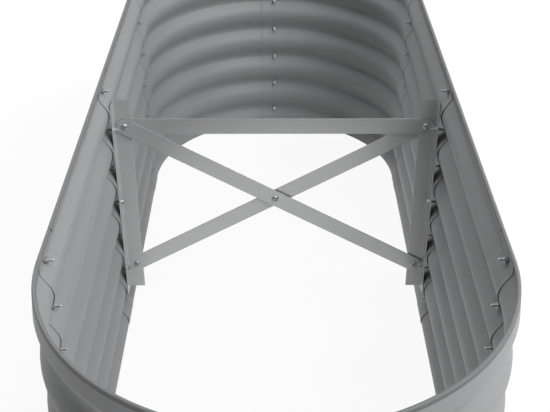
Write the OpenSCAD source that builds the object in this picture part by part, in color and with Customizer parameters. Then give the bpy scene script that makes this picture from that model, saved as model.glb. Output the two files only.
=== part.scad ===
// Raised garden bed: an oval ring of corrugated steel panels, open above and below, bolted
// together along lapped joints. Two angle posts, a flat bar and two crossed flat braces tie
// the long sides together halfway along the bed.
// Millimetres. X runs across the bed, Y along it, Z up from the ground. The origin is the
// middle of the footprint. "Front" is the -Y end, "back" the +Y end, "left" the -X side.

/* [Bed] */
// Length over the two rounded ends
bed_l = 2246; // [1900:2:3200]
// Width over the outer crests of the side panels
bed_w = 806; // [600:2:1100]
// Height from the ground to the top of the rolled rim
bed_h = 690; // [600:10:780]

/* [Corrugated sheet] */
// Thickness of the steel sheet
sheet_t = 0.8; // [0.6:0.1:1.2]
// Height of one wave of the corrugation
wave_pitch = 100; // [80:2:110]
// Depth of the corrugation, from outer to inner face crest
wave_depth = 20; // [10:1:24]
// Height of the lowest outer crest above the ground
foot_h = 52; // [30:1:60]
// Least height of the flat band between the top crest and the rim
band_h = 30; // [24:1:36]
// Outside diameter of the rolled rim
hem_d = 8; // [6:0.5:12]
// How far the rim is set in from the outer crests
rim_in = 3; // [0:0.5:6]

/* [Lapped joints] */
// Length over which neighbouring panels overlap
lap_l = 80; // [40:1:90]
// Distance from a corner joint to where its end starts to curve
corner_tail = 50; // [48:1:90]
// Play between two nested sheets
nest_gap = 0.05; // [0.02:0.01:0.2]
// Play between an outer panel's edge and the step of the inner panel
edge_gap = 1; // [0.5:0.1:3]
// Distance from the rolled rim down to the cut-away top of a lapped end
notch_gap = 1; // [0.5:0.1:3]

/* [Posts and braces] */
// Leg of the angle post, outside
post_leg = 40; // [34:1:50]
// Thickness of the angle post
post_t = 2; // [1.5:0.5:4]
// Inside radius of the post's bend
post_bend = 1.5; // [0.5:0.5:4]
// Length of a post above its top bolt and below its lowest bolt
post_over = 70; // [40:1:90]
// Width of the flat bar and of the crossed braces
strip_w = 40; // [30:1:44]
// Thickness of the flat bar and of the crossed braces
strip_t = 2; // [1.5:0.5:3]
// Play between a strip's round end and the post leg beside it
strip_clear = 2.2; // [1:0.2:4]

/* [Panel bolts] */
// Thread diameter of the panel bolts
bolt_d = 6; // [5:0.5:6]
// Clearance hole in the sheets and posts
bolt_hole = 6.6; // [6.4:0.1:7.5]
// Length of a panel bolt under its head
bolt_l = 20; // [18:1:30]
// Length of the bolts that end between the panels and a post
short_bolt_l = 16; // [12:1:16]
// Length of the bolts that hold a post
post_bolt_l = 35; // [34:1:40]
// Diameter of a panel bolt's head
head_d = 12; // [11:0.5:14]
// Height of a panel bolt's head
head_h = 3.6; // [3:0.2:5]
// Width of a panel nut across its flats
nut_w = 10; // [9:0.5:11]
// Height of a panel nut
nut_h = 5; // [4:0.5:6]
// Outside diameter of a panel washer
washer_d = 12; // [11:0.5:14]
// Thickness of a panel washer
washer_t = 1; // [0.8:0.1:1.6]

/* [Brace bolts] */
// Thread diameter of the brace bolts
brace_bolt_d = 8; // [6:0.5:8]
// Clearance hole in the strips and posts
brace_hole = 8.6; // [8.4:0.1:10]
// Length of a brace bolt under its head
brace_bolt_l = 20; // [20:1:30]
// Diameter of a brace bolt's head
brace_head_d = 16; // [14:0.5:18]
// Height of a brace bolt's head
brace_head_h = 4.6; // [4:0.2:6]
// Width of a brace nut across its flats
brace_nut_w = 13; // [12:0.5:14]
// Height of a brace nut
brace_nut_h = 6.5; // [5:0.5:8]
// Outside diameter of a brace washer and of the spacers between strips
brace_washer_d = 16; // [15:0.5:20]
// Thickness of a brace washer
brace_washer_t = 1.6; // [1:0.2:2]

/* [Hidden] */

// Share of a wave's height that lies between an outer crest and the inner crest below it
crest_share = 0.45;
// How finely a wave, the rolled rim and round things are drawn
wave_steps = 12;
hem_step = 20;
hem_turn = 300;
bend_steps = 4;
$fn = 32;
end_fn = 96;
// Turn of a bore about its axis, so that its circle starts off the crest line
bore_turn = 45;

// Overrun of every cut
cut = 3;
// Play in a nut or washer round its bolt, and between a seat and a curved sheet
thread_gap = 0.1;
seat_gap = 0.1;

// Cross recess of the bolt heads, in shares of the head's diameter and height
recess_w_share = 0.13;
recess_l_share = 0.56;
recess_h_share = 0.5;
// Radius of a head's dome, in shares of its diameter
dome_r_share = 0.78;

half_w = bed_w / 2;
half_l = bed_l / 2;
// Centre of each rounded end, and the joint between a side panel and a corner panel
arc_y = half_l - half_w;
joint_y = arc_y - corner_tail;

// Rows of bolts, one on every outer crest
rows = floor((bed_h - foot_h - band_h) / wave_pitch) + 1;
row_list = [0 : rows - 1];
post_rows = [for (row = row_list) if (row == rows - 2 || row % 2 == 1 && row < rows - 3) row];

// How far a lapped end is set in, so that the steepest flanks of two sheets just clear
lap_step = sheet_t / cos(atan(wave_steepness(crest_share))) + nest_gap;
lap_top = bed_h - hem_d - notch_gap;
lap_angle = lap_l / 2 / half_w * 180 / PI;
edge_angle = edge_gap / half_w * 180 / PI;
step_angle = sheet_t / half_w * 180 / PI;

// Places inwards from the outer face of the wall
wall_in = sheet_t + lap_step + wave_depth;
post_out = wall_in + nest_gap;
panel_seat = sheet_t + lap_step + crest_drop(washer_d / 2) + seat_gap;
end_seat = panel_seat + seat_gap;
post_seat = post_out + post_t;

// The brace's layers along Y, from the front: front brace, bar, post leg, back brace
post_y = post_leg / 2;
leg_y = post_y - post_t;
bar_y = leg_y - strip_t;
front_brace_y = bar_y - strip_t;
brace_x = half_w - post_seat - strip_clear - strip_w / 2;
brace_low_z = row_z(1);
brace_high_z = row_z(rows - 2);
brace_mid_z = (brace_low_z + brace_high_z) / 2;
brace_l = norm([2 * brace_x, brace_high_z - brace_low_z]);
brace_tilt = atan2(brace_high_z - brace_low_z, 2 * brace_x);

paint = [0.50, 0.51, 0.52];
zinc = [0.78, 0.79, 0.80];

function row_z(row) = foot_h + row * wave_pitch;

// A wave turns from 0 at an outer crest up through 180 at the inner crest and on to 360. The
// flank below an outer crest is the steeper one, because it takes the smaller share.
function wave_turn(z) =
    let (n = (z - foot_h) / wave_pitch, up = n - floor(n))
    up < 1 - crest_share ? 180 * up / (1 - crest_share)
                         : 360 - 180 * (1 - up) / crest_share;

// How far the wave lies in from its outer crest, at a turn and at a height
function turn_in(turn) = wave_depth / 2 * (1 - cos(turn));
function wave_in(z) = turn_in(wave_turn(z));

// Height above the lowest outer crest of one of the steps in which the wave is drawn
function step_h(k) =
    let (wave = floor(k / wave_steps), half = 2 * (k / wave_steps - wave))
    wave_pitch * (wave + (half < 1 ? half * (1 - crest_share)
                                   : 1 - (2 - half) * crest_share));

// Steepest slope of a flank that takes the given share of a wave's height
function wave_steepness(share) = PI * wave_depth / 2 / (share * wave_pitch);

// How far the flank below an outer crest lies in from it, at distance r from the crest
function crest_drop(r) =
    let (step = 2 * crest_share * wave_pitch / wave_steps, k = floor(r / step),
         near = turn_in(360 * k / wave_steps), next = turn_in(360 * (k + 1) / wave_steps))
    near + (r / step - k) * (next - near);

// Outward normal of the wave at height z
function wave_normal(z) =
    let (turn = wave_turn(z),
         slope = wave_steepness(turn < 180 ? 1 - crest_share : crest_share) * sin(turn),
         n = [1, slope])
    n / norm(n);

// Middle line of the sheet from the ground up to the top crest: each entry is a point and
// the outward normal there. The wall's outer face lies at 0 and the bed's inside is negative.
// At the ground the normal lies level, and is stretched to keep the sheet's thickness.
foot_steps = ceil(foot_h / wave_pitch * wave_steps);
top_crest = row_z(rows - 1);
wave_heights = concat(
    [for (i = [0 : foot_steps - 1]) foot_h * i / foot_steps],
    [for (k = [0 : (rows - 1) * wave_steps]) foot_h + step_h(k)]);
foot_normal = [1 / wave_normal(0)[0], 0];
wave_path = [for (z = wave_heights)
    [[-sheet_t / 2 - wave_in(z), z], z == 0 ? foot_normal : wave_normal(z)]];

// Above the top crest a flat band leans in to the rim. The whole sheet ends in a rim rolled
// inwards; a lapped end stops under that rim.
hem_middle = [-rim_in - hem_d / 2, bed_h - hem_d / 2];
hem_path = [for (a = [0 : hem_step : hem_turn])
    [hem_middle + (hem_d - sheet_t) / 2 * [cos(a), sin(a)], [cos(a), sin(a)]]];
lap_lean = rim_in * (lap_top - top_crest) / (hem_middle[1] - top_crest);
wall_path = concat(wave_path, hem_path);
lap_path = concat(wave_path, [[[-sheet_t / 2 - lap_lean, lap_top], [1, 0]]]);

// Outline between two faces of a path: the outer face shifted in by a, the inner one by b
function outline(path, a, b) = concat(
    [for (p = path) p[0] + p[1] * sheet_t / 2 - [a, 0]],
    [for (i = [len(path) - 1 : -1 : 0]) path[i][0] - path[i][1] * sheet_t / 2 - [b, 0]]);

wall_outline = outline(wall_path, 0, 0);
lap_outline = outline(lap_path, lap_step, lap_step);
step_outline = outline(lap_path, 0, lap_step);

// A straight stretch of the right-hand wall between two places along Y
module straight_wall(outline, from, to)
    translate([half_w, to, 0])
        rotate([90, 0, 0])
            linear_extrude(to - from)
                polygon(outline);

// A curved stretch round the back end between two angles, measured from the right-hand side
module curved_wall(outline, from, to)
    translate([0, arc_y, 0])
        rotate([0, 0, from])
            rotate_extrude(angle = to - from, $fn = end_fn)
                translate([half_w, 0])
                    polygon(outline);

// Puts its children, drawn with +Z out of the wall, on the right-hand wall or the back end.
// On the curved end they stand off by the seat gap, so that flat heads clear the curve.
module on_side(y, row)
    translate([half_w, y, row_z(row)])
        rotate([0, 90, 0])
            children();

module on_end(row)
    translate([0, half_l + seat_gap, row_z(row)])
        rotate([-90, 0, 0])
            children();

module wall_bore()
    translate([0, 0, -wall_in])
        rotate([0, 0, bore_turn])
            cylinder(d = bolt_hole, h = wall_in + cut);

// Right-hand side panel whose front joint is at y. Its front end is set in to lie inside
// the panel in front; its back end stays outside the panel behind.
module side_panel(y)
    color(paint)
        difference() {
            union() {
                straight_wall(lap_outline, y - lap_l / 2, y + lap_l / 2 + edge_gap + sheet_t);
                straight_wall(step_outline, y + lap_l / 2 + edge_gap,
                              y + lap_l / 2 + edge_gap + sheet_t);
                straight_wall(wall_outline, y + lap_l / 2 + edge_gap, y + joint_y + lap_l / 2);
            }
            for (row = row_list, place = [y, y + joint_y])
                on_side(place, row) wall_bore();
        }

// Back right corner panel: a straight tail and a quarter turn. Either end can be set in to
// lie inside its neighbour.
module corner_panel(tail_inside, end_inside)
    color(paint) {
        panel_tail(tail_inside);
        curved_wall(wall_outline, 0, 90 - lap_angle - edge_angle);
        panel_end(end_inside);
    }

module panel_tail(inside) {
    start = joint_y - lap_l / 2;
    step = joint_y + lap_l / 2 + edge_gap;
    difference() {
        union() {
            straight_wall(wall_outline, inside ? step : start, arc_y);
            if (inside) {
                straight_wall(lap_outline, start, step + sheet_t);
                straight_wall(step_outline, step, step + sheet_t);
            }
        }
        for (row = row_list) on_side(joint_y, row) wall_bore();
    }
}

module panel_end(inside) {
    start = 90 - lap_angle - edge_angle - step_angle;
    difference() {
        if (inside)
            union() {
                curved_wall(lap_outline, start, 90 + lap_angle);
                curved_wall(step_outline, start, start + step_angle);
            }
        else
            curved_wall(wall_outline, start, 90 + lap_angle);
        for (row = row_list) on_end(row) wall_bore();
    }
}

// Right-hand angle post: one leg lies along the wall, the other crosses the bed behind it
module post() {
    corner = [half_w - post_out, post_y];
    outer_r = post_bend + post_t;
    bend = corner - [outer_r, outer_r];
    function arc(r, from, to) = [for (i = [0 : bend_steps])
        let (a = from + (to - from) * i / bend_steps) bend + r * [cos(a), sin(a)]];
    section = concat(
        [corner - [post_leg, 0]],
        [corner - [post_leg, post_t]],
        arc(post_bend, 90, 0),
        [corner - [post_t, post_leg]],
        [corner - [0, post_leg]],
        arc(outer_r, 0, 90));
    color(paint)
        difference() {
            translate([0, 0, brace_low_z - post_over])
                linear_extrude(brace_high_z - brace_low_z + 2 * post_over)
                    polygon(section);
            for (row = post_rows)
                translate([half_w - post_seat - cut, 0, row_z(row)])
                    rotate([0, 90, 0])
                        cylinder(d = bolt_hole, h = post_t + 2 * cut);
            for (z = [brace_low_z, brace_high_z])
                translate([brace_x, leg_y - cut, z])
                    rotate([-90, 0, 0])
                        cylinder(d = brace_hole, h = post_t + 2 * cut);
        }
}

// Flat strip along X with round ends, its bolt holes at the given places, front face at Y 0
module strip(length, holes)
    rotate([90, 0, 0])
        translate([0, 0, -strip_t])
            linear_extrude(strip_t)
                difference() {
                    union() {
                        square([length, strip_w], center = true);
                        for (side = [-1, 1])
                            translate([side * length / 2, 0]) circle(d = strip_w, $fn = 64);
                    }
                    for (x = holes)
                        translate([x, 0]) circle(d = brace_hole);
                }

module top_bar()
    color(paint)
        translate([0, bar_y, brace_high_z])
            strip(2 * brace_x, [-brace_x, brace_x]);

// Braces cross at the middle: the front one falls to the right, the back one to the left
module front_brace()
    color(paint)
        translate([0, front_brace_y, brace_mid_z])
            rotate([0, brace_tilt, 0])
                strip(brace_l, [-brace_l / 2, 0, brace_l / 2]);

module back_brace()
    color(paint)
        translate([0, post_y, brace_mid_z])
            rotate([0, -brace_tilt, 0])
                strip(brace_l, [-brace_l / 2, 0, brace_l / 2]);

// Domed bolt with a cross recess: the head stands on Z 0 and the shank hangs below it
module bolt(d, length, head, height) {
    dome_r = head * dome_r_share;
    recess = [head * recess_l_share, head * recess_w_share, height];
    difference() {
        union() {
            translate([0, 0, -length])
                cylinder(d = d, h = length + height / 2);
            intersection() {
                cylinder(d = head, h = height);
                translate([0, 0, height - dome_r]) sphere(r = dome_r, $fn = 64);
            }
        }
        for (turn = [0, 90])
            rotate([0, 0, turn])
                translate([0, 0, height - height * recess_h_share + recess[2] / 2])
                    cube(recess, center = true);
    }
}

module nut(d, across, height)
    difference() {
        cylinder(d = across / cos(30), h = height, $fn = 6);
        translate([0, 0, -cut])
            cylinder(d = d + thread_gap, h = height + 2 * cut);
    }

module ring(d, outer, height)
    difference() {
        cylinder(d = outer, h = height);
        translate([0, 0, -cut])
            cylinder(d = d + thread_gap, h = height + 2 * cut);
    }

module panel_bolt(length)
    color(zinc) bolt(bolt_d, length, head_d, head_h);

// A nut or washer whose seat lies at the given depth inside the wall's outer face
module panel_washer(seat)
    color(zinc)
        translate([0, 0, -seat - washer_t])
            ring(bolt_d, washer_d, washer_t);

module panel_nut(seat)
    color(zinc)
        translate([0, 0, -seat - washer_t - nut_h])
            nut(bolt_d, nut_w, nut_h);

// The rows of a middle joint that hold no post: the outer rows take a full panel bolt, and
// the rows behind the post a short one
free_rows = [for (row = row_list) if (len(search(row, post_rows)) == 0) row];
function middle_bolt_l(row) = row == 0 || row == rows - 1 ? bolt_l : short_bolt_l;

module middle_bolts()
    for (row = free_rows) on_side(0, row) panel_bolt(middle_bolt_l(row));

module middle_nuts()
    for (row = free_rows) on_side(0, row) panel_nut(panel_seat);

module middle_washers()
    for (row = free_rows) on_side(0, row) panel_washer(panel_seat);

module post_bolts()
    for (row = post_rows) on_side(0, row) panel_bolt(post_bolt_l);

module post_nuts()
    for (row = post_rows) on_side(0, row) panel_nut(post_seat);

module post_washers()
    for (row = post_rows) on_side(0, row) panel_washer(post_seat);

module joint_bolts()
    for (row = row_list) on_side(joint_y, row) panel_bolt(bolt_l);

module joint_nuts()
    for (row = row_list) on_side(joint_y, row) panel_nut(panel_seat);

module joint_washers()
    for (row = row_list) on_side(joint_y, row) panel_washer(panel_seat);

module end_bolts()
    for (row = row_list) on_end(row) panel_bolt(bolt_l);

module end_nuts()
    for (row = row_list) on_end(row) panel_nut(end_seat);

module end_washers()
    for (row = row_list) on_end(row) panel_washer(end_seat);

// Brace bolts: place across the bed, height, and the front and back faces of what they clamp
brace_places = [
    [-brace_x, brace_high_z, front_brace_y, post_y],
    [brace_x, brace_high_z, bar_y, post_y + strip_t],
    [-brace_x, brace_low_z, leg_y, post_y + strip_t],
    [brace_x, brace_low_z, front_brace_y, post_y],
    [0, brace_mid_z, front_brace_y, post_y + strip_t]
];

module brace_bolts()
    color(zinc)
        for (p = brace_places)
            translate([p[0], p[2], p[1]])
                rotate([90, 0, 0])
                    bolt(brace_bolt_d, brace_bolt_l, brace_head_d, brace_head_h);

module brace_washers()
    color(zinc)
        for (p = brace_places)
            translate([p[0], p[3], p[1]])
                rotate([-90, 0, 0])
                    ring(brace_bolt_d, brace_washer_d, brace_washer_t);

module brace_nuts()
    color(zinc)
        for (p = brace_places)
            translate([p[0], p[3] + brace_washer_t, p[1]])
                rotate([-90, 0, 0])
                    nut(brace_bolt_d, brace_nut_w, brace_nut_h);

// Spacers fill the step behind the front brace: at its lower end and where the braces cross
module brace_spacers()
    color(zinc) {
        translate([brace_x, bar_y, brace_low_z])
            rotate([-90, 0, 0])
                ring(brace_bolt_d, brace_washer_d, leg_y - bar_y);
        translate([0, bar_y, brace_mid_z])
            rotate([-90, 0, 0])
                ring(brace_bolt_d, brace_washer_d, post_y - bar_y);
    }

// Places its children, drawn at the right or the back, at the left or the front
module left() mirror([1, 0, 0]) children();
module front() mirror([0, 1, 0]) children();

left() side_panel(-joint_y);  // front_left_side_panel
side_panel(-joint_y);  // front_right_side_panel
left() side_panel(0);  // back_left_side_panel
side_panel(0);  // back_right_side_panel
left() front() corner_panel(false, false);  // front_left_corner_panel
front() corner_panel(false, true);  // front_right_corner_panel
left() corner_panel(true, true);  // back_left_corner_panel
corner_panel(true, false);  // back_right_corner_panel
left() post();  // left_post
post();  // right_post
top_bar();
front_brace();
back_brace();
left() middle_bolts();  // left_middle_bolts
middle_bolts();  // right_middle_bolts
left() post_bolts();  // left_post_bolts
post_bolts();  // right_post_bolts
left() front() joint_bolts();  // front_left_joint_bolts
front() joint_bolts();  // front_right_joint_bolts
left() joint_bolts();  // back_left_joint_bolts
joint_bolts();  // back_right_joint_bolts
front() end_bolts();  // front_end_bolts
end_bolts();  // back_end_bolts
left() middle_nuts();  // left_middle_nuts
middle_nuts();  // right_middle_nuts
left() post_nuts();  // left_post_nuts
post_nuts();  // right_post_nuts
left() front() joint_nuts();  // front_left_joint_nuts
front() joint_nuts();  // front_right_joint_nuts
left() joint_nuts();  // back_left_joint_nuts
joint_nuts();  // back_right_joint_nuts
front() end_nuts();  // front_end_nuts
end_nuts();  // back_end_nuts
left() middle_washers();  // left_middle_washers
middle_washers();  // right_middle_washers
left() post_washers();  // left_post_washers
post_washers();  // right_post_washers
left() front() joint_washers();  // front_left_joint_washers
front() joint_washers();  // front_right_joint_washers
left() joint_washers();  // back_left_joint_washers
joint_washers();  // back_right_joint_washers
front() end_washers();  // front_end_washers
end_washers();  // back_end_washers
brace_bolts();
brace_nuts();
brace_washers();
brace_spacers();
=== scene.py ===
import math

import bpy
import numpy as np
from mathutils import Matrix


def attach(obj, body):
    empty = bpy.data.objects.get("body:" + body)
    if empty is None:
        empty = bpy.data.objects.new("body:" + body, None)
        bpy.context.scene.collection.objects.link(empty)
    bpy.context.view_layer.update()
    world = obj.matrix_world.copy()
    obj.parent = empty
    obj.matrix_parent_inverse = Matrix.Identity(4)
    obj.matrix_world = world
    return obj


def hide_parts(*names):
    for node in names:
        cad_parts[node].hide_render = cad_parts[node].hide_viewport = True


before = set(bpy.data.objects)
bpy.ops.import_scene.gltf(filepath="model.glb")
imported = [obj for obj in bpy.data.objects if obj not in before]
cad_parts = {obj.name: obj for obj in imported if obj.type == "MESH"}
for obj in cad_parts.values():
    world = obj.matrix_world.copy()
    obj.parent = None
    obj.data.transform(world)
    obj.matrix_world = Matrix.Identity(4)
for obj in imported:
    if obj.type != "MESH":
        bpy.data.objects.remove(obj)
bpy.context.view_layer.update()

# Sizes of the bed in metres, as its source has them

MM = 0.001
bed_h = 690 * MM
half_w = 403 * MM
half_l = 1123 * MM
tail_l = 50 * MM
sheet_t = 0.8 * MM
wave_pitch = 100 * MM
wave_depth = 20 * MM
crest_share = 0.45
crest_steps = 6
foot_h = 52 * MM
rows = 7
hem_d = 8 * MM
hem_turn = 300
rim_in = 3 * MM
lap_half = 40 * MM
edge_gap = 1 * MM
notch_gap = 1 * MM
joggle = 7 * MM
nest_gap = 0.05 * MM
seat_gap = 0.1 * MM
post_leg = 40 * MM
post_t = 2 * MM
post_bend = 1.5 * MM
post_over = 70 * MM
strip_w = 40 * MM
strip_t = 2 * MM
strip_clear = 2.2 * MM
bolt_d, head_d, head_h = 6 * MM, 12 * MM, 3.6 * MM
bolt_l, short_bolt_l, post_bolt_l = 20 * MM, 16 * MM, 35 * MM
nut_w, nut_h = 10 * MM, 5 * MM
washer_d, washer_t = 12 * MM, 1 * MM
brace_bolt_d, brace_head_d, brace_head_h = 8 * MM, 16 * MM, 4.6 * MM
brace_bolt_l = 20 * MM
brace_nut_w, brace_nut_h = 13 * MM, 6.5 * MM
brace_washer_d, brace_washer_t = 16 * MM, 1.6 * MM

# Finer shapes that only this model has: bends are shares of a flank, at its outer and its
# inner crest, and lifts are how far a sheet's free end stands off its neighbour

upper_bends = (0.13, 0.44)
lower_bends = (0.25, 0.42)
top_play = 0.07 * MM
spring_l = 14 * MM
crest_hold = 0.3
corner_lift = 0.2 * MM
front_lift, back_lift = 0.8 * MM, 1.8 * MM
strip_edge = 0.15 * MM
post_corner = 0.5 * MM
post_edge = 0.25 * MM
washer_edge = 0.25 * MM
bore_play = 0.05 * MM
bore_lip = 0.3 * MM
bolt_pitch, brace_pitch = 1 * MM, 1.25 * MM
hair = 1e-9

# How finely shapes are cut, and the turn in degrees from which an edge stays sharp

band_steps, hem_steps = 5, 26
joggle_step, spring_step, far_step = 1 * MM, 3 * MM, 9 * MM
edge_steps, round_steps, corner_steps, bend_steps = 3, 40, 4, 16
bolt_angles, ring_angles, bevel_steps = 36, 48, 6
sheet_sharp, flat_sharp, fastener_sharp = 40, 14, 32

# Places that follow from the sizes

arc_y = half_l - half_w
joint_y = arc_y - tail_l
steepness = math.pi * wave_depth / 2 / (crest_share * wave_pitch)
lap_step = sheet_t / math.cos(math.atan(steepness)) + nest_gap
lap_top = bed_h - hem_d - notch_gap
lap_break = lap_half + edge_gap
top_crest = foot_h + (rows - 1) * wave_pitch
post_out = sheet_t + lap_step + wave_depth + nest_gap
post_y = post_leg / 2
leg_y = post_y - post_t
bar_y = leg_y - strip_t
front_brace_y = bar_y - strip_t
brace_x = half_w - post_out - post_t - strip_clear - strip_w / 2
brace_low_z = foot_h + wave_pitch
brace_high_z = foot_h + (rows - 2) * wave_pitch
brace_mid_z = (brace_low_z + brace_high_z) / 2


# Meshes from arrays

def stations(marks, counts):
    """Places from the first mark to the last, where each stretch between two marks is cut
    evenly into its own count."""
    parts = [np.linspace(low, high, count + 1)[:-1]
             for low, high, count in zip(marks[:-1], marks[1:], counts)]
    return np.concatenate(parts + [marks[-1:]])


def ring_quads(rings, around, closed=False):
    """Quads between neighbouring rings, whose point j on ring i has index i * around + j.
    Each ring closes on itself, and where closed the last ring joins the first."""
    i = np.arange(rings if closed else rings - 1)[:, None]
    j = np.arange(around)[None, :]
    i2, j2 = (i + 1) % rings, (j + 1) % around
    corners = [i * around + j, i2 * around + j, i2 * around + j2, i * around + j2]
    return np.stack([np.broadcast_to(c, (i.size, j.size)).ravel() for c in corners], 1)


def turned_over(faces):
    """The same faces, seen from their other side."""
    return [f[:, ::-1] for f in faces]


def make_piece(node, kind, points, faces, coat, sharp):
    """One piece of the bed from an (n, 3) array and a list of face arrays of 3, 4 or more
    corners. It stands for a node of the frame and rides on the frame's one body. Edges
    that turn by more than sharp degrees stay sharp."""
    name = f"{node}_{kind}"
    mesh = bpy.data.meshes.new(name)
    faces = [f for f in faces if len(f)]
    totals = np.concatenate([np.full(len(f), f.shape[1]) for f in faces]).astype(np.int32)
    corners = np.concatenate([f.ravel() for f in faces]).astype(np.int32)
    starts = np.concatenate([[0], np.cumsum(totals)[:-1]]).astype(np.int32)
    mesh.vertices.add(len(points))
    mesh.vertices.foreach_set("co", np.ascontiguousarray(points, np.float32).ravel())
    mesh.loops.add(len(corners))
    mesh.loops.foreach_set("vertex_index", corners)
    mesh.polygons.add(len(totals))
    mesh.polygons.foreach_set("loop_start", starts)
    mesh.polygons.foreach_set("use_smooth", np.ones(len(totals), bool))
    mesh.update(calc_edges=True)
    mesh.validate()
    mesh.set_sharp_from_angle(angle=math.radians(sharp))
    mesh.materials.append(coat)
    piece = bpy.data.objects.new(name, mesh)
    bpy.context.scene.collection.objects.link(piece)
    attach(piece, "root")
    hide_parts(node)


# The corrugated sheet

def eased(x):
    """0 below 0, 1 above 1 and a smooth step between: three x squared less two x cubed."""
    x = np.clip(x, 0, 1)
    return x * x * (3 - 2 * x)


def flank(u, bends):
    """Share of the way in at a share u of a flank, counted from its outer crest, and its
    slope: straight, with a bend at each crest over a share of the flank, in which the slope
    grows or falls evenly. The straight slope is 1 over one less half of both bends."""
    outer, inner = bends
    steep = 1 / (1 - (outer + inner) / 2)
    u = np.clip(u, 0, 1)
    middle = steep * (u - outer / 2)
    at_outer = steep * u ** 2 / (2 * outer)
    at_inner = 1 - steep * (1 - u) ** 2 / (2 * inner)
    share = np.where(u < outer, at_outer, np.where(u > 1 - inner, at_inner, middle))
    return share, steep * np.minimum(1, np.minimum(u / outer, (1 - u) / inner))


def wave_at(z):
    """How far the sheet lies in from its outer crests at height z, and its slope: up from
    an outer crest it goes in, and then out along a straight flank to the next outer crest,
    whose bend is tighter than that of the inner crest."""
    up = (z - foot_h) / wave_pitch
    up = up - np.floor(up)
    lower, upper = 1 - crest_share, crest_share
    into, into_slope = flank(up / lower, lower_bends)
    out, out_slope = flank((1 - up) / upper, upper_bends)
    rising = up < lower
    slope = np.where(rising, into_slope / lower, -out_slope / upper)
    return wave_depth * np.where(rising, into, out), wave_depth / wave_pitch * slope


def wave_marks():
    """Heights in one wave, as shares of the pitch, closer together in the bends."""
    lower, upper = 1 - crest_share, crest_share
    ends = [0, lower * lower_bends[0], lower * (1 - lower_bends[1]), lower,
            lower + upper * upper_bends[1], 1 - upper * upper_bends[0], 1]
    return stations(ends, (6, 3, 7, 7, 3, 5))[:-1]


def wall_profile():
    """Middle line of the sheet from the ground up, as places (inwards, z) and unit normals
    (inwards, z) that point out of the bed: the wave, the band that leans in to the rim, and
    the rim rolled inwards. Also returns how many places lie below the height at which a
    lapped end stops."""
    least_step = 0.5 * MM
    z = foot_h + wave_pitch * (np.arange(-1, rows - 1)[:, None] + wave_marks()[None]).ravel()
    z = np.concatenate([[0], z[z > least_step], [top_crest]])
    inwards, slope = wave_at(z)

    hem_z = bed_h - hem_d / 2
    lean = rim_in / (hem_z - top_crest)
    band_z = np.concatenate([np.linspace(top_crest, lap_top, band_steps + 1)[1:], [hem_z]])
    low = len(z) + band_steps
    z = np.concatenate([z, band_z])
    inwards = np.concatenate([inwards, (band_z - top_crest) * lean]) + sheet_t / 2
    slope = np.concatenate([slope, np.full(len(band_z), lean)])
    length = np.hypot(1, slope)
    normal = np.stack([-1 / length, slope / length], 1)
    normal[-1] = [-1, 0]

    turn = np.radians(np.linspace(0, hem_turn, hem_steps + 1))[1:]
    r = (hem_d - sheet_t) / 2
    hem = np.stack([rim_in + hem_d / 2 - r * np.cos(turn), hem_z + r * np.sin(turn)], 1)
    hem_normal = np.stack([-np.cos(turn), np.sin(turn)], 1)
    place = np.concatenate([np.stack([inwards, z], 1), hem])
    return place, np.concatenate([normal, hem_normal]), low


def sheet_piece(node, plan, inward, set_in, spring, whole, mirror):
    """A closed sheet: the wall profile carried along a plan line. plan and inward are the
    line's places and the directions into the bed, and set_in is the shift inwards at each
    place. whole says where the sheet has its rim; elsewhere it stops below it. spring is how
    far a free end stands off, and least on the outer crests, where the bolts are. The two
    faces lie half the sheet's thickness either side of the middle line."""
    place, normal, low = wall_profile()
    held = crest_hold + (1 - crest_hold) * np.clip(place[:, 0] / wave_depth, 0, 1)
    n, m = len(plan), len(place)
    points = []
    for side in (1, -1):
        at = place + side * sheet_t / 2 * normal
        at[:, 1] = np.clip(at[:, 1], 0, bed_h - top_play)
        depth = at[None, :, 0] + set_in[:, None] + spring[:, None] * held[None]
        xy = plan[:, None, :] + inward[:, None, :] * depth[:, :, None]
        points.append(np.concatenate([xy, np.broadcast_to(at[None, :, 1:], (n, m, 1))], 2))
    points = np.concatenate(points).reshape(-1, 3) * [mirror[0], mirror[1], 1]

    # Each quad that the sheet uses has an outer and an inner face
    used = np.zeros((n - 1, m - 1), bool)
    used[:, :low - 1] = True
    used[whole[:-1] & whole[1:]] = True
    index = np.arange(n * m).reshape(n, m)
    inner = n * m
    a, b, c, d = index[:-1, :-1], index[1:, :-1], index[1:, 1:], index[:-1, 1:]
    quads = np.stack([a, b, c, d], 2)[used]
    faces = [quads, quads[:, ::-1] + inner]

    # A narrow face closes each side of a quad that has no neighbour there
    padded = np.pad(used, 1)
    for (i, j), p, q in (((1, 0), b, a), ((1, 2), d, c), ((0, 1), a, d), ((2, 1), c, b)):
        open_side = used & ~padded[i:i + n - 1, j:j + m - 1]
        faces.append(np.stack([p, q, q + inner, p + inner], 2)[open_side])
    if mirror[0] * mirror[1] < 0:
        faces = turned_over(faces)

    keep = np.zeros(len(points), bool)
    for f in faces:
        keep[f] = True
    renumber = np.cumsum(keep) - 1
    make_piece(node, "sheet", points[keep], [renumber[f] for f in faces], paint,
               sheet_sharp)


def set_in_near(distance):
    """How far a sheet is set in at a distance from the joint into the panel: a whole lap
    step within the lap, and none once past the joggle beyond it."""
    return lap_step * (1 - eased((distance - lap_break) / joggle))


def sprung(distance, lift):
    """How far the free end of an inner sheet stands off its neighbour at a distance from
    the joint into the panel: the lift times the square of one less the share of the sprung
    length that lies between there and the end."""
    return lift * np.clip(1 - (distance + lap_half) / spring_l, 0, 1) ** 2


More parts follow.
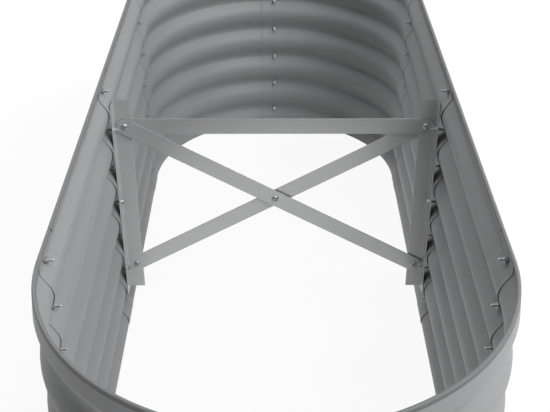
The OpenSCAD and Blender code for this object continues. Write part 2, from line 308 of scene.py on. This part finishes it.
def side_sheet(node, y, lift, side):
    """A straight panel along Y: its front end is set in, to lie inside the next panel."""
    start, end = y - lap_half, y + joint_y + lap_half
    break_y = y + lap_break
    along = stations([start, start + spring_l, break_y, break_y + joggle, end], (5, 7, 8, 39))
    plan = np.stack([np.full(len(along), half_w), along], 1)
    inward = np.tile([-1.0, 0.0], (len(along), 1))
    sheet_piece(node, plan, inward, set_in_near(along - y), sprung(along - y, lift),
                along > break_y - hair, (side, 1))


def corner_sheet(node, tail_inside, end_inside, mirror):
    """A quarter turn with a straight tail: along is the distance from the tail's free end,
    straight at first and then round the end at the width's radius. The joggles and the
    sprung ends are cut finer than the rest."""
    seam, slack = 0.001 * MM, 1.1
    middle = tail_l + half_w * math.pi / 2
    low, high = -lap_half, middle + lap_half
    marks = [low, tail_l - seam, high]
    if tail_inside:
        marks += [low + spring_l, lap_break, lap_break + joggle]
    if end_inside:
        marks += [middle - lap_break - joggle, middle - lap_break, high - spring_l]
    marks = np.unique(marks)
    lengths = np.diff(marks)
    step = np.select([lengths < slack * joggle, lengths < slack * spring_l],
                     [joggle_step, spring_step], far_step)
    along = stations(marks, np.ceil(lengths / step).astype(int))

    angle = np.clip((along - tail_l) / half_w, 0, None)
    y = np.where(along < tail_l, joint_y + along, arc_y + half_w * np.sin(angle))
    plan = np.stack([half_w * np.cos(angle), y], 1)
    inward = -np.stack([np.cos(angle), np.sin(angle)], 1)
    set_in, spring = np.zeros(len(along)), np.zeros(len(along))
    whole = np.ones(len(along), bool)
    for inside, distance in ((tail_inside, along), (end_inside, middle - along)):
        if inside:
            set_in += set_in_near(distance)
            spring += sprung(distance, corner_lift)
            whole &= distance > lap_break - hair
    sheet_piece(node, plan, inward, set_in, spring, whole, mirror)


# Posts and strips

def slab(outline, normals, thick, edge):
    """A flat slab drawn in X and Y with its rounded edges along Z: the outline, drawn in by
    the edge radius times one less a sine, at heights that follow one less a cosine."""
    a = np.linspace(0, np.pi / 2, edge_steps + 1)
    inset, rise = edge * (1 - np.sin(a)), edge * (1 - np.cos(a))
    inset = np.concatenate([inset, inset[::-1]])
    height = np.concatenate([rise, thick - rise[::-1]])
    xy = outline[None] - normals[None] * inset[:, None, None]
    z = np.broadcast_to(height[:, None, None], xy.shape[:2] + (1,))
    around, rings = len(outline), len(height)
    foot = np.arange(around)[None]
    top = foot + (rings - 1) * around
    faces = [ring_quads(rings, around)[:, ::-1], foot[:, ::-1], top]
    return np.concatenate([xy, z], 2).reshape(-1, 3), faces


def strip_piece(node, length, y, z, tilt):
    """A flat strip across the bed, tilted about Y, with its front face at y. Its outline is
    two half circles of the strip's width, with their middles a length apart."""
    a = np.linspace(-np.pi / 2, np.pi / 2, round_steps + 1)
    away = np.stack([np.cos(a), np.sin(a)], 1)
    normals = np.concatenate([away, -away])
    middles = np.repeat([[length / 2, 0.0], [-length / 2, 0.0]], len(a), 0)
    points, faces = slab(middles + normals * strip_w / 2, normals, strip_t, strip_edge)
    x, up, depth = points.T
    c, s = math.cos(tilt), math.sin(tilt)
    points = np.stack([c * x - s * up, y + strip_t - depth, z + s * x + c * up], 1)
    make_piece(node, "strip", points, faces, brace_paint, flat_sharp)


def corner_arc(middle, r, start, end, steps=corner_steps):
    """Places on an arc about a middle and the directions away from it, in degrees."""
    a = np.radians(np.linspace(start, end, steps + 1))
    away = np.stack([np.cos(a), np.sin(a)], 1)
    return middle + r * away, away


def post_piece(node, side):
    """An angle post: the L-shaped section, with its bend and with rounded ends to its legs,
    carried up the post. The section runs anticlockwise round its outline."""
    cx, cy, r = half_w - post_out, post_y, post_corner
    outer = post_bend + post_t
    bend = np.array([cx - outer, cy - outer])
    hollow, hollow_away = corner_arc(bend, post_bend, 90, 0, bend_steps - corner_steps)
    arcs = [
        corner_arc([cx - post_leg + r, cy - r], r, 90, 180),
        corner_arc([cx - post_leg + r, cy - post_t + r], r, 180, 270),
        (hollow, -hollow_away),
        corner_arc([cx - post_t + r, cy - post_leg + r], r, 180, 270),
        corner_arc([cx - r, cy - post_leg + r], r, 270, 360),
        corner_arc(bend, outer, 0, 90, bend_steps),
    ]
    outline, normals = (np.concatenate(part) for part in zip(*arcs))
    low, high = brace_low_z - post_over, brace_high_z + post_over
    points, faces = slab(outline, normals, high - low, post_edge)
    if side < 0:
        faces = turned_over(faces)
    make_piece(node, "angle", points * [side, 1, 1] + [0, 0, low], faces, post_paint,
               flat_sharp)


# Fasteners, each drawn about its own axis Z

def turned_part(radius, height, closed):
    """A closed part from arrays of radius and height at (station, angle). Where closed the
    stations close on themselves, as in a ring; otherwise the first and last station close
    in a point on the axis."""
    count, angles = radius.shape
    a = np.linspace(0, 2 * np.pi, angles, endpoint=False)
    points = np.stack([radius * np.cos(a), radius * np.sin(a), height], 2).reshape(-1, 3)
    faces = [ring_quads(count, angles, closed)]
    if not closed:
        around = np.arange(angles)
        after = (around + 1) % angles
        last = (count - 1) * angles
        top, foot = len(points), len(points) + 1
        poles = np.array([[0, 0, height[0].mean()], [0, 0, height[-1].mean()]])
        points = np.concatenate([points, poles])
        faces.append(np.stack([np.full(angles, top), around, after], 1))
        faces.append(np.stack([np.full(angles, foot), last + after, last + around], 1))
    return points, faces


def all_round(values, angles=ring_angles):
    """One value for each station, the same at each of its angles."""
    return np.repeat(np.array(values)[:, None], angles, 1)


def recess_arm(across, out, head):
    """1 inside one arm of the cross recess and 0 beside it, with soft edges. Its half width
    and its reach are shares of the head's width."""
    soft, wing, reach = head * 0.02, head * 0.08, head * 0.32
    return (eased((wing + soft - across) / (2 * soft))
            * eased((reach + soft - out) / (2 * soft)))


def domed_bolt(d, length, head, height, pitch):
    """A pan-headed bolt: from the top of the head's dome, sunk by a cross recess, over its
    rim, under the head and down a shank whose radius follows a helical ridge. The dome is
    part of a ball, whose radius is a share of the head's width."""
    angles, turn_steps = bolt_angles, 4
    dome_r, recess_d = head * 0.78, height * 0.55
    a = np.linspace(0, 2 * np.pi, angles, endpoint=False)[None]
    r = np.concatenate([np.linspace(0.05, 0.60, 14), np.linspace(0.66, 0.97, 6)]) * head / 2
    dome_z = height - dome_r + np.sqrt(dome_r ** 2 - r ** 2)
    r, dome_z = all_round(r, angles), all_round(dome_z, angles)
    x, y = np.abs(r * np.cos(a)), np.abs(r * np.sin(a))
    dome_z -= recess_d * np.maximum(recess_arm(x, y, head), recess_arm(y, x, head))

    rim_z = height - dome_r + math.sqrt(dome_r ** 2 - (head / 2) ** 2)
    edge_r = np.array([1.0, 1.0, 0.985, 0.95]) * head / 2
    edge_z = [rim_z * 0.8, height * 0.06, 0.0, 0.0]

    plain_l, tip_l, thread_d = 1.2 * pitch, 0.6 * pitch, 0.55 * pitch
    steps = int(round((length - 1.5 * pitch) / pitch * turn_steps))
    shank_z = np.linspace(-plain_l, -length + tip_l, steps)
    ridge = 0.5 + 0.5 * np.cos(2 * np.pi * shank_z[:, None] / pitch - a)
    fade = np.clip((-shank_z - plain_l) / pitch, 0, 1)[:, None]
    shank_r = d / 2 - thread_d * (1 - ridge) * fade

    radius = np.concatenate([r, all_round(edge_r, angles), all_round([d / 2, d / 2], angles),
                             shank_r, all_round([d / 2 - tip_l, d / 4], angles)])
    below = np.concatenate([edge_z, [0.0, -1.1 * pitch], shank_z, [-length, -length]])
    return turned_part(radius, np.concatenate([dome_z, all_round(below, angles)]), False)


def hex_nut(d, across, height):
    """A hexagon nut standing on Z 0: its radius is the least of the hexagon's and of a cone
    that cuts the corners towards both faces, whose flat part is a little less wide."""
    cone_slope, face_r = math.tan(math.radians(32)), across * 0.475
    a = np.linspace(0, 2 * np.pi, ring_angles, endpoint=False)
    hexagon = across / 2 / np.cos((a % (np.pi / 3)) - np.pi / 6)
    cut = (hexagon.max() - face_r) * cone_slope
    z = np.concatenate([np.linspace(0, cut, bevel_steps + 1),
                        np.linspace(height - cut, height, bevel_steps + 1)])
    cone = face_r + np.minimum(z, height - z) / cone_slope
    side = np.minimum(hexagon[None], cone[:, None])
    bore = d / 2 + bore_play
    inside = all_round([bore + bore_lip, bore, bore, bore + bore_lip])
    radius = np.concatenate([side, inside])
    heights = np.concatenate([z, [height, height - bore_lip, bore_lip, 0.0]])
    points, faces = turned_part(radius, all_round(heights), True)
    return points, turned_over(faces)


def flat_ring(d, outer, height):
    """A washer standing on Z 0, its outer edges rounded as a stamped one's are."""
    r0, r1, e = d / 2 + bore_play, outer / 2, min(washer_edge, height / 4)
    round_e = 0.3 * e
    radius = [r0 + e, r0, r0, r0 + e, r1 - e, r1 - round_e, r1, r1, r1 - round_e, r1 - e]
    z = [0, e, height - e, height, height, height - round_e, height - e, e, round_e, 0]
    return turned_part(all_round(radius), all_round(z), True)


def placed(points, faces, places, spins):
    """Copies of a part drawn round its own axis Z: each place is a point and the level
    direction that +Z takes there, and each spin turns the copy about that axis."""
    starts, axes = (np.array([p[k] for p in places], float) for k in (0, 1))
    side = np.cross(axes, [0.0, 0.0, 1.0])
    up = np.cross(axes, side)
    c, s = np.cos(spins)[:, None], np.sin(spins)[:, None]
    turned = np.stack([side * c + up * s, up * c - side * s, axes], 1)
    copies = np.einsum("nk,mkd->mnd", points, turned) + starts[:, None, :]
    shift = np.arange(len(places))[:, None, None] * len(points)
    return copies.reshape(-1, 3), [(f[None] + shift).reshape(-1, f.shape[1]) for f in faces]


# Finishes

def feed(tree, value, socket):
    """Gives a socket a number, or the output of another node."""
    if isinstance(value, (int, float)):
        socket.default_value = value
    else:
        tree.links.new(value, socket)


def noise_node(tree, vector, scale, detail=2.0, roughness=0.5):
    """Noise of a given scale on a vector."""
    node = tree.nodes.new("ShaderNodeTexNoise")
    for key, value in (("Vector", vector), ("Scale", scale), ("Detail", detail),
                       ("Roughness", roughness)):
        feed(tree, value, node.inputs[key])
    return node.outputs["Fac"]


def ranged(tree, value, low, high, start=0.3, end=0.7):
    """A value mapped from start..end to low..high, and held there outside them."""
    node = tree.nodes.new("ShaderNodeMapRange")
    for key, given in (("Value", value), ("From Min", start), ("From Max", end),
                       ("To Min", low), ("To Max", high)):
        feed(tree, given, node.inputs[key])
    return node.outputs["Result"]


def math_node(tree, operation, a, b=0.0):
    """A Math node on two numbers or sockets."""
    node = tree.nodes.new("ShaderNodeMath")
    node.operation = operation
    feed(tree, a, node.inputs[0])
    feed(tree, b, node.inputs[1])
    return node.outputs["Value"]


def about(tree, middle, spread):
    """The two ends of a range: the middle less the spread, and the middle plus it."""
    return (math_node(tree, "SUBTRACT", middle, spread), math_node(tree, "ADD", middle, spread))


def height_of(tree, vector):
    """The Z part of a vector."""
    parts = tree.nodes.new("ShaderNodeSeparateXYZ")
    tree.links.new(vector, parts.inputs["Vector"])
    return parts.outputs["Z"]


def darkened(tree, colour, share):
    """A colour times a share."""
    node = tree.nodes.new("ShaderNodeVectorMath")
    node.operation = "SCALE"
    tree.links.new(colour, node.inputs[0])
    tree.links.new(share, node.inputs["Scale"])
    return node.outputs["Vector"]


def surface_group():
    """Shared grain: a colour that varies slowly by Tone, a roughness that varies by Spread
    about its middle, and a fine height pattern of the given grain scale. Both vary with
    a broad cloud and a small share of specks."""
    cloud_scale, speck_scale, speck_share = 5.0, 700.0, 0.1
    group = bpy.data.node_groups.new("finish_grain", "ShaderNodeTree")
    for label, kind, value in (
            ("Vector", "NodeSocketVector", (0, 0, 0)),
            ("Colour", "NodeSocketColor", (0.25, 0.25, 0.25, 1)),
            ("Tone", "NodeSocketFloat", 0.05),
            ("Roughness", "NodeSocketFloat", 0.4),
            ("Spread", "NodeSocketFloat", 0.05),
            ("Grain", "NodeSocketFloat", 900.0)):
        socket = group.interface.new_socket(label, in_out="INPUT", socket_type=kind)
        socket.default_value = value
    for label, kind in (("Colour", "NodeSocketColor"), ("Roughness", "NodeSocketFloat"),
                        ("Height", "NodeSocketFloat")):
        group.interface.new_socket(label, in_out="OUTPUT", socket_type=kind)
    given = group.nodes.new("NodeGroupInput").outputs
    made = group.nodes.new("NodeGroupOutput").inputs
    cloud = noise_node(group, given["Vector"], cloud_scale, detail=3.0, roughness=0.55)
    speck = noise_node(group, given["Vector"], speck_scale, detail=1.0)
    mixed = math_node(group, "ADD", math_node(group, "MULTIPLY", cloud, 1 - speck_share),
                      math_node(group, "MULTIPLY", speck, speck_share))
    tone = ranged(group, mixed, *about(group, 1.0, given["Tone"]))
    roughness = ranged(group, mixed, *about(group, given["Roughness"], given["Spread"]))
    fine = noise_node(group, given["Vector"], given["Grain"])
    group.links.new(darkened(group, given["Colour"], tone), made["Colour"])
    group.links.new(roughness, made["Roughness"])
    group.links.new(fine, made["Height"])
    return group


def finish(name, colour, tone, roughness, spread, grain, bump, metallic, gloss,
           painted_rim_shade=None, painted_edge_shade=None):
    """A material with the shared grain on Object coordinates. bump is the height of the grain
    in metres and gloss the level of its plain reflection. The last two, where given, paint
    shade into the colour. They are shares by which the rolled rim, and faces that look straight
    up or down (such as cut edges and post ends), are darkened. The first stands for the shade
    the rim lies in; the second takes out the highlights that lamps above put on those faces."""
    material = bpy.data.materials.new(name)
    material.use_nodes = True
    tree = material.node_tree
    shader = tree.nodes["Principled BSDF"]
    shader.inputs["Metallic"].default_value = metallic
    shader.inputs["Specular IOR Level"].default_value = gloss
    where = tree.nodes.new("ShaderNodeTexCoord").outputs["Object"]
    grain_node = tree.nodes.new("ShaderNodeGroup")
    grain_node.node_tree = grain_group
    tree.links.new(where, grain_node.inputs["Vector"])
    for key, value in (("Colour", (*colour, 1)), ("Tone", tone), ("Roughness", roughness),
                       ("Spread", spread), ("Grain", grain)):
        grain_node.inputs[key].default_value = value
    rise = tree.nodes.new("ShaderNodeBump")
    rise.inputs["Distance"].default_value = bump
    rise.inputs["Strength"].default_value = 1.0
    tree.links.new(grain_node.outputs["Height"], rise.inputs["Height"])
    coat = grain_node.outputs["Colour"]
    # Painted shade: the rolled rim, above its foot, is darkened by a share to stand for the
    # shade it lies in.
    if painted_rim_shade is not None:
        rim_foot, soft = bed_h - hem_d, 1 * MM
        coat = darkened(tree, coat, ranged(tree, height_of(tree, where), 1.0, painted_rim_shade,
                                           rim_foot - soft, rim_foot + soft))
    # Painted shade: faces that look up or down, such as cut edges and post ends, are darkened
    # to take out the highlights that lamps above put there.
    if painted_edge_shade is not None:
        facing = tree.nodes.new("ShaderNodeNewGeometry").outputs["Normal"]
        upright = math_node(tree, "ABSOLUTE", height_of(tree, facing))
        coat = darkened(tree, coat, ranged(tree, upright, 1.0, painted_edge_shade))
    tree.links.new(coat, shader.inputs["Base Color"])
    tree.links.new(grain_node.outputs["Roughness"], shader.inputs["Roughness"])
    tree.links.new(rise.outputs["Normal"], shader.inputs["Normal"])
    return material


grain_group = surface_group()
# The wall coat darkens its rolled rim as painted shade.
paint = finish("grey_powder_coat", (0.250, 0.253, 0.257), tone=0.03, roughness=0.50,
               spread=0.04, grain=850.0, bump=0.02 * MM, metallic=0.0, gloss=0.35,
               painted_rim_shade=0.48)
# The brace and post coats darken faces that look up or down as painted shade.
brace_paint = finish("grey_metallic_coat", (0.495, 0.498, 0.502), tone=0.03, roughness=0.24,
                     spread=0.02, grain=850.0, bump=0.002 * MM, metallic=0.46, gloss=0.5,
                     painted_edge_shade=0.5)
post_paint = finish("grey_post_coat", (0.440, 0.443, 0.447), tone=0.03, roughness=0.32,
                    spread=0.02, grain=850.0, bump=0.002 * MM, metallic=0.28, gloss=0.5,
                    painted_edge_shade=0.5)
zinc = finish("bright_zinc", (0.40, 0.404, 0.41), tone=0.08, roughness=0.40, spread=0.06,
              grain=2400.0, bump=0.002 * MM, metallic=0.9, gloss=0.5)

# Panels: drawn on the right at the back, and mirrored for the others

hands = (("left", -1), ("right", 1))
front_and_back = (("front", -1), ("back", 1))
for end, y, lift in (("front", -joint_y, front_lift), ("back", 0.0, back_lift)):
    for hand, side in hands:
        side_sheet(f"{end}_{hand}_side_panel", y, lift, side)
for node, tail_inside, end_inside, mirror in (
        ("front_left_corner_panel", False, False, (-1, -1)),
        ("front_right_corner_panel", False, True, (1, -1)),
        ("back_left_corner_panel", True, True, (-1, 1)),
        ("back_right_corner_panel", True, False, (1, 1))):
    corner_sheet(node, tail_inside, end_inside, mirror)

# Posts, bar and braces

for hand, side in hands:
    post_piece(f"{hand}_post", side)
brace_rise, brace_run = brace_high_z - brace_low_z, 2 * brace_x
tilt = math.atan2(brace_rise, brace_run)
brace_l = math.hypot(brace_rise, brace_run)
strip_piece("top_bar", brace_run, bar_y, brace_high_z, 0.0)
strip_piece("front_brace", brace_l, front_brace_y, brace_mid_z, -tilt)
strip_piece("back_brace", brace_l, post_y, brace_mid_z, tilt)

# Panel bolts, nuts and washers: a seat is how far inside the outer crest the washers lie

facet_h = crest_share * wave_pitch / crest_steps
crest_drop = wave_depth / 2 * (1 - math.cos(math.pi / crest_steps)) * washer_d / 2 / facet_h
panel_seat = sheet_t + lap_step + crest_drop + seat_gap
post_seat = post_out + post_t
post_rows, free_rows = (1, 3, 5), (0, 2, 4, 6)
spin = np.random.default_rng(7)


def row_heights(chosen):
    """Heights of the chosen rows of bolts."""
    return [foot_h + row * wave_pitch for row in chosen]


def side_places(side, y, chosen):
    """Places of bolts on a side wall, and the direction out of it."""
    return [((side * half_w, y, z), (side, 0, 0)) for z in row_heights(chosen)]


def end_places(end):
    """Places of bolts on a rounded end, and the direction out of it."""
    return [((0, end * (half_l + seat_gap), z), (0, end, 0)) for z in row_heights(range(rows))]


def moved(places, depth):
    """The same places moved against their direction by a depth."""
    return [(tuple(np.array(p) - depth * np.array(d)), d) for p, d in places]


def fasteners(node, parts):
    """One piece for a node: copies of turned parts, each given as a part and its places."""
    points, faces, count = [], [], 0
    for part, places in parts:
        p, f = placed(*part, places, spin.uniform(0, 2 * np.pi, len(places)))
        faces += [a + count for a in f]
        points.append(p)
        count += len(p)
    make_piece(node, "set", np.concatenate(points), faces, zinc,
               fastener_sharp)


def panel_fasteners(joint, places, seat, bolts):
    """The bolts of a joint, with the washers and nuts behind them."""
    fasteners(f"{joint}_bolts", bolts)
    fasteners(f"{joint}_washers", [(washer, moved(places, seat + washer_t))])
    fasteners(f"{joint}_nuts", [(nut, moved(places, seat + washer_t + nut_h))])


washer = flat_ring(bolt_d, washer_d, washer_t)
nut = hex_nut(bolt_d, nut_w, nut_h)
long_bolt, short_bolt, through_bolt = (
    domed_bolt(bolt_d, length, head_d, head_h, bolt_pitch)
    for length in (bolt_l, short_bolt_l, post_bolt_l))

for hand, side in hands:
    places = side_places(side, 0.0, free_rows)
    panel_fasteners(f"{hand}_middle", places, panel_seat,
                    [(long_bolt, [places[0], places[-1]]), (short_bolt, places[1:-1])])
for hand, side in hands:
    places = side_places(side, 0.0, post_rows)
    panel_fasteners(f"{hand}_post", places, post_seat, [(through_bolt, places)])
for end, way in front_and_back:
    places = end_places(way)
    panel_fasteners(f"{end}_end", places, panel_seat + seat_gap, [(long_bolt, places)])
for end, way in front_and_back:
    for hand, side in hands:
        places = side_places(side, way * joint_y, range(rows))
        panel_fasteners(f"{end}_{hand}_joint", places, panel_seat, [(long_bolt, places)])

# Brace bolts: place across, height, and the front and back faces of what they clamp

clamped = [
    (-brace_x, brace_high_z, front_brace_y, post_y),
    (brace_x, brace_high_z, bar_y, post_y + strip_t),
    (-brace_x, brace_low_z, leg_y, post_y + strip_t),
    (brace_x, brace_low_z, front_brace_y, post_y),
    (0.0, brace_mid_z, front_brace_y, post_y + strip_t),
]
forwards, backwards = (0, -1, 0), (0, 1, 0)
brace_bolt = domed_bolt(brace_bolt_d, brace_bolt_l, brace_head_d, brace_head_h, brace_pitch)
brace_washer = flat_ring(brace_bolt_d, brace_washer_d, brace_washer_t)
brace_nut = hex_nut(brace_bolt_d, brace_nut_w, brace_nut_h)
fasteners("brace_bolts", [(brace_bolt, [((x, y, z), forwards) for x, z, y, _ in clamped])])
fasteners("brace_washers", [(brace_washer, [((x, y, z), backwards)
                                            for x, z, _, y in clamped])])
fasteners("brace_nuts", [(brace_nut, [((x, y + brace_washer_t, z), backwards)
                                      for x, z, _, y in clamped])])
fasteners("brace_spacers", [
    (flat_ring(brace_bolt_d, brace_washer_d, back - bar_y), [((x, bar_y, z), backwards)])
    for x, z, back in ((brace_x, brace_low_z, leg_y), (0.0, brace_mid_z, post_y))])

# Floor, light and camera

floor_half, floor_glow = 40, 0.9
floor_mesh = bpy.data.meshes.new("floor")
floor_mesh.from_pydata([(x * floor_half, y * floor_half, 0)
                        for x, y in ((-1, -1), (1, -1), (1, 1), (-1, 1))], [], [(0, 1, 2, 3)])
floor = bpy.data.objects.new("floor", floor_mesh)
bpy.context.scene.collection.objects.link(floor)


def seen_directly(tree, share):
    """share where the camera or a mirror looks, and 0 where the light is being worked out."""
    path = tree.nodes.new("ShaderNodeLightPath").outputs
    seen = math_node(tree, "MAXIMUM", path["Is Camera Ray"], path["Is Glossy Ray"])
    return math_node(tree, "MULTIPLY", seen, share)


floor_finish = bpy.data.materials.new("pale_floor")
floor_finish.use_nodes = True
tree = floor_finish.node_tree
matt = tree.nodes["Principled BSDF"]
matt.inputs["Base Color"].default_value = (0.8, 0.8, 0.8, 1)
matt.inputs["Roughness"].default_value = 0.9
glow = tree.nodes.new("ShaderNodeEmission")
glow.inputs["Color"].default_value = (1, 1, 1, 1)
blend = tree.nodes.new("ShaderNodeMixShader")
tree.links.new(seen_directly(tree, floor_glow), blend.inputs["Fac"])
tree.links.new(matt.outputs["BSDF"], blend.inputs[1])
tree.links.new(glow.outputs["Emission"], blend.inputs[2])
tree.links.new(blend.outputs["Shader"], tree.nodes["Material Output"].inputs["Surface"])
floor_mesh.materials.append(floor_finish)

world = bpy.data.worlds.new("studio")
bpy.context.scene.world = world
world.use_nodes = True
tree = world.node_tree
sky = tree.nodes["Background"]
sky.inputs["Color"].default_value = (1, 1, 1, 1)
tree.links.new(seen_directly(tree, 1.0), sky.inputs["Strength"])


def soft_lamp(name, bearing, height, power):
    """A square area lamp that faces the bed from a direction, in degrees from +X towards
    +Y and up from the floor, with its power in watts."""
    lamp = bpy.data.lights.new(name, "AREA")
    lamp.size = lamp_side
    lamp.energy = power
    lamp_object = bpy.data.objects.new(name, lamp)
    bpy.context.scene.collection.objects.link(lamp_object)
    a, e = math.radians(bearing), math.radians(height)
    away = np.array([math.cos(e) * math.cos(a), math.cos(e) * math.sin(a), math.sin(e)])
    lamp_object.location = away * lamp_distance + [0, 0, bed_h / 2]
    lamp_object.rotation_euler = (math.pi / 2 - e, 0, a + math.pi / 2)
    lamp_object.visible_camera = False


lamp_distance, lamp_side = 6, 3
for name, bearing, height, power in (
        ("key_lamp", -45, 49, 270),
        ("right_lamp", 0, 30, 150),
        ("low_lamp", 45, 10, 80),
        ("top_lamp", -90, 88, 150),
        ("back_lamp", 135, 45, 160)):
    soft_lamp(name, bearing, height, power)

image_w, focal_l, sensor_w = 550, 990.06, 36
look_down, look_right = 32.247, 0.13
camera_x, camera_y, above_rim = -0.0053, -2.06741, 0.95351
camera = bpy.data.cameras.new("camera")
camera.sensor_width = sensor_w
camera.lens = focal_l / image_w * sensor_w
camera_object = bpy.data.objects.new("camera", camera)
bpy.context.scene.collection.objects.link(camera_object)
camera_object.location = (camera_x, camera_y, bed_h + above_rim)
camera_object.rotation_euler = (math.radians(90 - look_down), 0, math.radians(-look_right))
bpy.context.scene.camera = camera_object
bpy.context.scene.view_settings.view_transform = "Standard"
